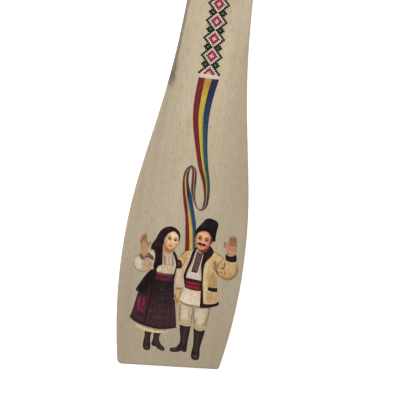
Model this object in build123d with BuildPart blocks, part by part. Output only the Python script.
from build123d import *

import os
from math import radians, tan

# Flat wooden spatula printed with a waving couple in folk dress, a tricolour ribbon and
# a cross-stitch band. The blank is one carved board that lies flat: +Y runs up the
# handle, +Z is the printed face, and the origin is under the middle of its box. Each
# colour area of the print is a film of ink that lies on the board beside its neighbours.

# Driving dimensions of the board, in millimetres. Heights run up the handle from the
# middle of the working edge.
length = 298.0  # middle of the working edge to the end of the handle
blade_width = 62.0  # widest place of the blade
handle_width = 33.4  # where the shoulders have run out into the handle
handle_end_width = 29.0
thickness = 6.0
widest_height = 55.0
neck_height = 184.0
tip_width = 50.0  # across the blade just below the working edge
working_edge_angle = 4.8  # degrees, lower on the left
working_edge_trim = 3.0  # the slanted cut starts this far below the middle of the edge
heel_radius = 2.5
toe_radius = 1.6
edge_round = 1.3
tip_thickness = 2.6
bevel_length = 38.0  # the back thins towards the working edge over this length
hole_radius = 3.0
hole_from_end = 12.0
hole_chamfer = 0.4
neck_taper = 0.3  # the handle is this much slimmer each side, a little above the neck
neck_taper_rise = 6.0

# Driving dimensions of the print
ink_thickness = 0.05
picture_margin = 2.2  # bare wood beside the couple at its widest
stitch = 0.885  # one row of the cross-stitch band
stitch_width = 0.82  # one column of it
band_gap = 2.4  # ribbon to the middle of the first half lozenge
band_offset = -0.2  # the band's middle line from the board's
band_margin = 10.0  # last lozenge to the hanging hole

# The couple and the ribbon are drawn in units from the middle of the working edge, on
# the board's own axes, and the drawing is sized to leave its margin on the blade.
drawing_half_width = 28.8
ribbon_top = 147.2
picture_scale = (blade_width / 2 - picture_margin) / drawing_half_width

# Lozenges of the band, in stitches
lozenge_pitch = 10
border_reach = 6.7
pale_reach = 5.2
red_reach = 3.6
cross_reach = 1.45
flower_reach = 2.55
flower_offset = 3
half_lozenge = lozenge_pitch / 2

blade_half = blade_width / 2
handle_half = handle_width / 2
end_half = handle_end_width / 2

os.makedirs("parts", exist_ok=True)


# ---------------------------------------------------------------- the board

# Stations below the widest place: height, and how far the side stands in from it
belly = [(16.0, 2.7), (37.0, 0.5)]
belly_points = [(blade_half - inset, height) for height, inset in belly]
# Shoulder stations: height, and the share of the step from handle to blade still left
shoulder = [(83.0, 0.895), (105.0, 0.67), (139.0, 0.28), (165.0, 0.08)]
shoulder_points = [
    (handle_half + share * (blade_half - handle_half), height)
    for height, share in shoulder
]
neck_point = (handle_half - neck_taper, neck_height + neck_taper_rise)
# The waste below the slanted working edge reaches past both sides of the blade
cut_half = blade_width
cut_rise = cut_half * tan(radians(working_edge_angle))
cut_depth = cut_rise + 2 * working_edge_trim

with BuildSketch() as board_outline:
    with BuildLine():
        side = Spline(
            (tip_width / 2, -working_edge_trim),
            *belly_points,
            (blade_half, widest_height),
            *shoulder_points,
            neck_point,
            (end_half, length - end_half),
            tangents=((0.2, 1), (0, 1)),
        )
        ThreePointArc(side @ 1, (0, length), (-end_half, length - end_half))
        mirror(side, about=Plane.YZ)
        Line((-tip_width / 2, -working_edge_trim), side @ 0)
    make_face()
    with BuildLine():
        Polyline(
            (-cut_half, -cut_rise),
            (cut_half, cut_rise),
            (cut_half, -cut_depth),
            (-cut_half, -cut_depth),
            close=True,
        )
    make_face(mode=Mode.SUBTRACT)
    heel = board_outline.vertices().sort_by(Axis.Y)[0]
    fillet(heel, heel_radius)
    right_corners = board_outline.vertices().filter_by_position(Axis.X, 0, blade_width)
    toe = right_corners.sort_by(Axis.Y)[0]
    fillet(toe, toe_radius)
    with Locations((0, length - hole_from_end)):
        Circle(hole_radius, mode=Mode.SUBTRACT)

extent = board_outline.sketch.bounding_box()
tip_y = -(extent.min.Y + extent.max.Y) / 2
board_plane = Plane(origin=(0, tip_y, 0))
print_plane = Plane(origin=(0, tip_y, thickness))

with BuildPart() as wooden_blank:
    with BuildSketch(board_plane):
        add(board_outline.sketch)
    extrude(amount=thickness)
    top_face = wooden_blank.faces().sort_by(Axis.Z)[-1]
    back_face = wooden_blank.faces().sort_by(Axis.Z)[0]
    rims = top_face.outer_wire().edges() + back_face.outer_wire().edges()
    hole_rims = wooden_blank.edges().filter_by(GeomType.CIRCLE).filter_by(
        lambda edge: edge.is_closed
    )
    fillet(rims, edge_round)
    chamfer(hole_rims, hole_chamfer)
    with BuildSketch(Plane.YZ.shift_origin((0, tip_y, 0))):
        with BuildLine():
            bevel_drop = thickness - tip_thickness
            Polyline(
                (bevel_length, 0),
                (0, bevel_drop),
                (-bevel_length, 2 * bevel_drop),
                (-bevel_length, -thickness),
                (bevel_length, -thickness),
                close=True,
            )
        make_face()
    extrude(amount=blade_width, both=True, mode=Mode.SUBTRACT)

wooden_blank.part.label = "wooden_blank"
export_step(wooden_blank.part, "parts/wooden_blank.step")


# ---------------------------------------------------------------- drawing helpers


def edge_through(points):
    """A straight edge through two points of the drawing, or a smooth one through more."""
    places = [(x * picture_scale, y * picture_scale) for x, y in points]
    if len(places) == 2:
        return Line(*places)
    return Spline(*places)


def area(first_run, *later_runs):
    """A closed area. Each later run is one smooth edge from the end of the run before
    it, and a straight edge closes the outline."""
    with BuildSketch() as drawn:
        with BuildLine():
            edge_through(first_run)
            end = first_run[-1]
            for run in later_runs:
                edge_through([end, *run])
                end = run[-1]
            if end != first_run[0]:
                edge_through([end, first_run[0]])
        make_face()
    return drawn.sketch


def oval(x, y, half_width, half_height, tilt):
    """An upright oval whose top leans to the right by the tilt, in degrees."""
    with BuildSketch() as drawn:
        with Locations(Location((x * picture_scale, y * picture_scale), -tilt)):
            Ellipse(half_width * picture_scale, half_height * picture_scale)
    return drawn.sketch


def diamonds(centres, reach):
    """Lozenges of the cross-stitch band that reach the same way from each centre."""
    half_width = reach * stitch_width
    half_height = reach * stitch
    places = [(band_offset + x * stitch_width, band_start + y * stitch) for x, y in centres]
    with BuildSketch() as drawn:
        with Locations(*places):
            Polygon((half_width, 0), (0, half_height), (-half_width, 0), (0, -half_height))
    return drawn.sketch


printed = []


def print_ink(name, *areas):
    """One colour of ink: its areas, less every area that was printed before."""
    with BuildPart() as film:
        with BuildSketch(print_plane):
            for own in areas:
                add(own)
            for earlier in printed:
                add(earlier, mode=Mode.SUBTRACT)
        extrude(amount=ink_thickness)
    film.part.label = name
    export_step(film.part, f"parts/{name}.step")
    printed.extend(areas)


# ---------------------------------------------------------------- the woman

print_ink("woman_face", oval(-6.7, 63.6, 3.9, 4.9, 8))

print_ink(
    "woman_headscarf",
    area(
        [(-2.7, 65.4), (-3.2, 67.5), (-5, 69.5), (-7.6, 70.4), (-10.2, 69.9),
         (-12.4, 68.3), (-13.9, 65.8), (-15, 62.8), (-16.3, 60.4), (-16.4, 57.4)],
        [(-15.2, 57.4), (-14.3, 56), (-13.9, 53), (-14.2, 49.5)],
        [(-13.4, 46.5)],
        [(-11.9, 46.5)],
        [(-12.2, 48), (-11.6, 49.6), (-9.7, 50.6)],
        [(-10, 53), (-10.4, 57), (-10.9, 61)],
        [(-7.5, 62), (-2.7, 65.4)],
    ),
)

print_ink(
    "woman_neck",
    area(
        [(-10.4, 57.4), (-9.4, 56.6), (-8, 56.2), (-6.2, 56.6)],
        [(-5, 58), (-4.6, 60.5)],
        [(-10.7, 61.5)],
    ),
)

print_ink(
    "woman_vest",
    area(
        [(-5.8, 59.2), (-4.2, 57.8), (-2.9, 55.8), (-2.4, 54.4)],
        [(-0.9, 54), (0.2, 52.2), (0, 50.4)],
        [(-1.2, 49.9), (-2.2, 50)],
        [(-2.4, 47.8), (-2.5, 45)],
        [(-3.8, 45)],
        [(-3.2, 48), (-3, 51.4), (-3.7, 54), (-5.1, 56.8), (-6.5, 58.4)],
    ),
)

print_ink(
    "woman_raised_hand",
    area(
        [(-21.4, 55.2), (-21.5, 57.5), (-22.2, 60), (-22.6, 62.2), (-22, 63.6),
         (-20.8, 65.2), (-19.9, 65.2), (-19.4, 63.5), (-18.9, 61.2)],
        [(-18.2, 60.4), (-17.4, 61.6), (-16.8, 61), (-17.3, 58.8), (-17.9, 57.2),
         (-17.9, 55)],
        [(-19.7, 53.6), (-21.4, 55.2)],
    ),
)

print_ink(
    "woman_cuff",
    area(
        [(-21.9, 54.4), (-20.3, 54.6), (-19, 54.1), (-18.2, 55.4)],
        [(-17.3, 55.8), (-16.3, 55)],
        [(-14.8, 54), (-14.3, 52.4)],
        [(-15.6, 52.3), (-17.3, 53.2), (-18.9, 52), (-20.4, 51.8), (-21.6, 53)],
    ),
)

print_ink(
    "woman_raised_sleeve",
    area(
        [(-21.3, 54.2), (-23.6, 52.8), (-24.4, 50.2), (-23.4, 47.4), (-20.9, 45.7),
         (-17.8, 46), (-15.6, 47.4), (-14.6, 50.4), (-15, 53)],
    ),
    area(
        [(-17.1, 56.8), (-15.8, 57.1), (-14.7, 56.2), (-14, 54)],
        [(-16.2, 53.4), (-17.8, 55.4)],
    ),
)

print_ink(
    "woman_sash",
    area(
        [(-12, 46.4), (-7.6, 46.2), (-3.4, 46.6)],
        [(-3, 43.2)],
        [(-7.5, 42.6), (-12.3, 43)],
    ),
)

print_ink(
    "woman_blouse",
    area(
        [(-10.7, 60), (-10.4, 57), (-9.6, 51)],
        [(-11.8, 49.8), (-12.3, 48), (-11.6, 46.2)],
        [(-3.2, 45.8)],
        [(-2.7, 50), (-3.3, 55), (-6.2, 59.4)],
    ),
)

print_ink(
    "woman_right_sleeve",
    area(
        [(-0.9, 50.6), (0.3, 49.8), (1.6, 46.4), (2.5, 42.6), (1.6, 39.8)],
        [(-1, 39.4)],
        [(-2, 41.5), (-2.6, 44.5), (-2.7, 48), (-0.9, 50.6)],
    ),
)

print_ink(
    "woman_right_hand",
    area(
        [(1.5, 40), (1.7, 38), (1.1, 35), (0.9, 32.4), (0.1, 31.7), (-0.5, 32.4),
         (-0.8, 33.6), (-1.4, 34.2), (-1.1, 36.5), (-0.6, 39.6)],
    ),
)

print_ink(
    "woman_side_panel",
    area(
        [(-19.4, 33.6), (-18.6, 34.6), (-16.8, 34.2), (-15.2, 33.4)],
        [(-14.9, 29), (-15.2, 24.2)],
        [(-17, 23.2), (-18.8, 24), (-19.9, 25)],
        [(-20.1, 29), (-19.4, 33.6)],
    ),
)

print_ink(
    "woman_skirt",
    area(
        [(-14.9, 47.6), (-17.3, 44.4), (-19.4, 40.6), (-21.3, 36.7)],
        [(-20.6, 35.7), (-19.8, 35.4)],
        [(-20.6, 31), (-21.4, 26), (-22.4, 22.3)],
        [(-20.4, 20.7)],
        [(-16.8, 19.4), (-12, 18.5), (-6.8, 18.2), (-2.4, 18.9), (1.8, 20.1)],
        [(0.7, 26), (-0.6, 32.6)],
        [(-1.6, 36), (-2.4, 41), (-2.9, 46.4)],
        [(-11.6, 48)],
    ),
)

print_ink(
    "woman_petticoat",
    area(
        [(-19.6, 20.2), (-13.5, 18.6), (-7, 18), (-1.4, 19)],
        [(-2, 17.2)],
        [(-5.8, 16.3), (-9.8, 16.1), (-14, 16.4), (-19, 18.4)],
    ),
)

print_ink(
    "woman_boots",
    area(
        [(-13.9, 16.2), (-13.5, 13.4), (-13.7, 9), (-13.1, 7.4), (-11.4, 6.8),
         (-9.9, 7.5), (-9.8, 9), (-10.3, 12), (-10, 16.2)],
    ),
    area(
        [(-9.3, 16.2), (-9.1, 13), (-9.6, 10.6)],
        [(-9, 9.6), (-7.2, 9.5)],
        [(-6, 8.4), (-4.4, 7.8), (-2.8, 7.8), (-2.5, 8.8), (-4, 10.2), (-5.8, 12.6),
         (-5.5, 16.1)],
    ),
)


# ---------------------------------------------------------------- the man

print_ink(
    "man_hat",
    area(
        [(4.4, 69.5), (5.4, 71.8), (7.4, 74.6), (9, 76.7), (10.6, 77.2), (12.9, 76.8),
         (14.8, 75.8), (15.5, 74)],
        [(15.1, 71), (15.1, 66.2)],
        [(14.4, 65.8), (13.6, 66.6)],
        [(12.9, 68.4), (11, 70.1), (8.6, 70.7), (6.4, 70.3), (5, 69.2)],
    ),
)

print_ink("man_face", oval(8.9, 65.7, 4.2, 5.1, 8))

print_ink(
    "man_hair",
    area(
        [(4.8, 66.2), (4.4, 68), (4.6, 70), (8.6, 71.4), (13, 69.4), (14, 67)],
        [(13, 65.4)],
    ),
)

print_ink(
    "man_neck",
    area(
        [(12.4, 67), (14, 66), (13.6, 64.9), (12.6, 63.8)],
        [(12.1, 61.6), (9.4, 59.2)],
        [(6.4, 61)],
        [(8.4, 63.4), (12.4, 67)],
    ),
)

print_ink(
    "man_placket",
    area(
        [(6.7, 59.8), (8.4, 59.2), (9.9, 59.6)],
        [(9.1, 54), (8.3, 48.9)],
        [(5.1, 49.2)],
        [(5.9, 54), (6.7, 59.8)],
    ),
)

print_ink(
    "man_waist_sash",
    area(
        [(2.6, 45.9), (7, 45.7), (11.2, 45.3)],
        [(11.6, 40.2)],
        [(7, 40.1), (3, 40.9)],
    ),
)

print_ink(
    "man_coat_trim",
    area(
        [(6.2, 62.3), (5, 60.8), (3.7, 55.6), (2.5, 51), (1.7, 46.6), (2.4, 42.4)],
        [(3.1, 43.2)],
        [(3, 45.6), (3.2, 48.6), (4.6, 53), (5.6, 57.6), (6.5, 61)],
    ),
    area(
        [(12.6, 63.8), (14, 62.4), (15, 60.8), (13.4, 57.2), (11.7, 54.4), (11.3, 50),
         (11.8, 44.6), (12.8, 38.6), (13.6, 34)],
        [(17.4, 34.4), (20.2, 35.4)],
        [(20.9, 36.2), (21.3, 34.8), (20.6, 34)],
        [(17, 32.6), (12, 31.9)],
        [(11.6, 37), (10.9, 44), (10.2, 50), (9.7, 54.2), (10, 57.4), (9.6, 60)],
        [(11.8, 61.4), (12.6, 63.8)],
    ),
    area(
        [(14.7, 42.9), (17, 42.7), (19.4, 43)],
        [(19.7, 41)],
        [(17.2, 40.7), (14.7, 41.3)],
    ),
)

print_ink(
    "man_cuff",
    area(
        [(21.3, 60.8), (23, 59.7), (25, 60), (26.3, 61.2)],
        [(27, 59.2), (27, 57.4)],
        [(24.4, 56.8), (21.7, 57.4)],
        [(21.2, 59.2), (21.3, 60.8)],
    ),
)

print_ink(
    "man_raised_hand",
    area(
        [(21.9, 61), (20.7, 63.2), (19.4, 65.4), (20.1, 66.7), (21.2, 65.9),
         (21.5, 64.2)],
        [(21.9, 65.8), (21.8, 68.2), (22.3, 69.6), (23, 69.2)],
        [(23.4, 70), (24.3, 70.2), (24.9, 69.3)],
        [(25.6, 68.9), (26, 67.6), (26.1, 65.2), (25.9, 62.6), (26, 60)],
        [(24, 59.2), (21.9, 61)],
    ),
)

print_ink(
    "man_shirt",
    area(
        [(6.2, 61), (4.6, 54), (3, 45)],
        [(11, 44.6)],
        [(10.8, 50), (10.4, 57), (11, 61)],
    ),
)

print_ink(
    "man_shirt_skirt",
    area(
        [(2.7, 41.4), (1.9, 38), (1.6, 34), (3, 33)],
        [(6, 32.3), (8, 32.2), (12, 32)],
        [(12, 36), (11.7, 41)],
    ),
)

print_ink(
    "man_coat",
    area(
        [(5.3, 61), (2.8, 59.9), (0.8, 59), (-1, 57.1), (-2.2, 55)],
        [(-0.8, 54.2), (0.2, 52.4)],
        [(0.8, 49.8), (1.9, 47)],
        [(2.9, 50.5), (4.2, 56), (5.3, 61)],
    ),
    area(
        [(14.2, 61), (16.6, 60.4), (19, 59.4), (20.8, 57.7), (21.5, 57.2)],
        [(24.4, 57.6), (27.1, 57.8)],
        [(28, 55.4), (28.5, 52.4), (27.4, 49.6), (24.4, 47.6), (21.2, 48),
         (18.9, 49.6)],
        [(18.7, 46), (19.4, 42.4), (20.6, 38), (21, 35)],
        [(17, 33.4), (13, 33)],
        [(10.8, 46), (10.8, 54), (14.2, 61)],
    ),
)

print_ink(
    "man_trousers",
    area(
        [(1.4, 34), (1.9, 29), (2.8, 24), (3.4, 22.2)],
        [(6, 21.6), (8.7, 22)],
        [(9.2, 25), (8.9, 29), (8.4, 33)],
    ),
    area(
        [(8.8, 33), (9.3, 28), (10.2, 23), (10.8, 21.2)],
        [(13.4, 20.2), (16.4, 21.4)],
        [(16.9, 26), (17.6, 33.4)],
    ),
)

print_ink(
    "man_boots",
    area(
        [(3.5, 22.8), (4.2, 17), (4.5, 13), (3.4, 10.9)],
        [(1.4, 10), (0.2, 9.4), (0.3, 8.2), (2.2, 7.9), (4.4, 8.3), (5.9, 9.2)],
        [(7.2, 8.6), (8.6, 9)],
        [(8.5, 12), (8.6, 16), (8.9, 22)],
    ),
    area(
        [(10.3, 21.8), (11.2, 16), (11.4, 12), (11.1, 7.4), (11.8, 5.7), (13.4, 5.3),
         (15, 5.8), (15.4, 7.4), (15.1, 11), (15.7, 16), (16.3, 21.8)],
    ),
)


# ---------------------------------------------------------------- the ribbon

# The band of three stripes falls, folds back on itself and falls again behind the
# man's shoulder. Each edge between stripes is one line of points for each stretch.
fall_edges = [
    [(-5.1, 147), (-5.6, 139), (-5.5, 130), (-3.9, 120), (-1.2, 110), (2, 100), (4.2, 95),
     (5.3, 91.5), (6.1, 88), (6.4, 85.6)],
    [(-1.9, 147), (-2.5, 137), (-2.5, 129), (-1.2, 120), (1.1, 110), (4.1, 100), (5.95, 95),
     (6.65, 91.5), (7.05, 88), (7.2, 85.6)],
    [(1.7, 147), (0.3, 137), (0.1, 129), (0.9, 120), (2.6, 110), (5.1, 100), (6.7, 95),
     (7.25, 91.5), (7.55, 88), (7.7, 85.6)],
    [(5.2, 147.3), (3.6, 137), (3, 127), (3.4, 120), (4.7, 110), (6.8, 100), (8.05, 95),
     (8.55, 92), (8.85, 88), (8.7, 85.6)],
]
turn_edges = [
    [(6.4, 85.6), (6.2, 83.2), (5.4, 81.3), (4.5, 81.2), (3.65, 82.05), (2.7, 83.8), (1.9, 86)],
    [(7.2, 85.6), (6.9, 82.8), (5.5, 80.95), (4.4, 81), (3.5, 81.93), (2.4, 83.7), (1.5, 86)],
    [(7.7, 85.6), (7.3, 82.4), (5.6, 80.65), (4.3, 80.82), (3.33, 81.8), (2.1, 83.6), (1.05, 86)],
    [(8.7, 85.6), (7.9, 82), (5.7, 80.3), (4.25, 80.62), (3.15, 81.65), (1.8, 83.5), (0.6, 86)],
]
rise_edges = [
    [(0.6, 86), (0.1, 87.2), (-0.4, 88.5), (-0.8, 90), (-1.1, 93), (-1.3, 96), (-1.5, 99), (-2.3, 101.4)],
    [(0.95, 86), (0.6, 87.4), (0.3, 90), (0.05, 93), (-0.2, 96), (-0.5, 99.4), (-2.3, 101.8)],
    [(1.1, 86), (0.85, 87.4), (0.6, 90), (0.4, 93), (0.2, 96), (-0.1, 99.6), (-2.3, 102.1)],
    [(1.9, 86), (1.65, 87.4), (1.45, 90), (1.35, 93), (1.15, 96), (0.5, 100), (-2.3, 102.5)],
]
end_edges = [
    [(-2.3, 102.5), (-4.4, 100.8), (-5.6, 97), (-5.5, 93), (-4.5, 87), (-2.75, 80), (-1.9, 77),
     (-0.95, 71), (-0.1, 65), (0.5, 58.6)],
    [(-2.3, 102.1), (-3.9, 100.2), (-4.75, 97), (-4.4, 93), (-3.1, 87), (-1, 80), (-0.4, 77),
     (0.95, 71), (1.95, 65), (2.7, 60)],
    [(-2.3, 101.8), (-3.5, 99.9), (-4.1, 97), (-3.7, 93), (-2.4, 87), (0.1, 80), (1, 77),
     (2.75, 71), (3.8, 65), (4.6, 59)],
    [(-2.3, 101.4), (-2.8, 99.6), (-3, 97), (-2.4, 93), (0, 87), (2.15, 80), (3.1, 77),
     (4.6, 71), (5.1, 65), (5.6, 60)],
]


def ribbon_stripe(stripe):
    """One stripe of the ribbon, on all four stretches."""
    stretches = []
    for edges in (end_edges, fall_edges, turn_edges, rise_edges):
        left = edges[stripe]
        right = edges[stripe + 1]
        stretches.append(area(right, [left[-1]], left[-2::-1]))
    return stretches


print_ink("ribbon_red", *ribbon_stripe(0))
print_ink("ribbon_yellow", *ribbon_stripe(1))
print_ink("ribbon_blue", *ribbon_stripe(2))


# ---------------------------------------------------------------- the cross-stitch band

band_start = ribbon_top * picture_scale + band_gap
band_room = length - hole_from_end - hole_radius - band_margin - band_start
lozenge_count = int((band_room / stitch - half_lozenge) / lozenge_pitch)
middles = [(0, lozenge_pitch * index) for index in range(1, lozenge_count + 1)]
half_middle = [(0, 0)]
flowers = [
    (side_sign * flower_offset, lozenge_pitch * index + half_lozenge)
    for index in range(lozenge_count)
    for side_sign in (-1, 1)
]
# No ink is printed below the first row of stitches
with BuildSketch() as below_band:
    with Locations((0, band_start - stitch / 2)):
        Rectangle(blade_width, lozenge_pitch * stitch, align=(Align.CENTER, Align.MAX))
printed.append(below_band.sketch)

print_ink("stitch_hearts", diamonds(half_middle + middles, cross_reach))
print_ink("stitch_red", diamonds(half_middle + middles, red_reach))
print_ink("stitch_pale", diamonds(half_middle + middles, pale_reach))
print_ink("stitch_dark", diamonds(half_middle + middles, border_reach),
          diamonds(flowers, flower_reach))
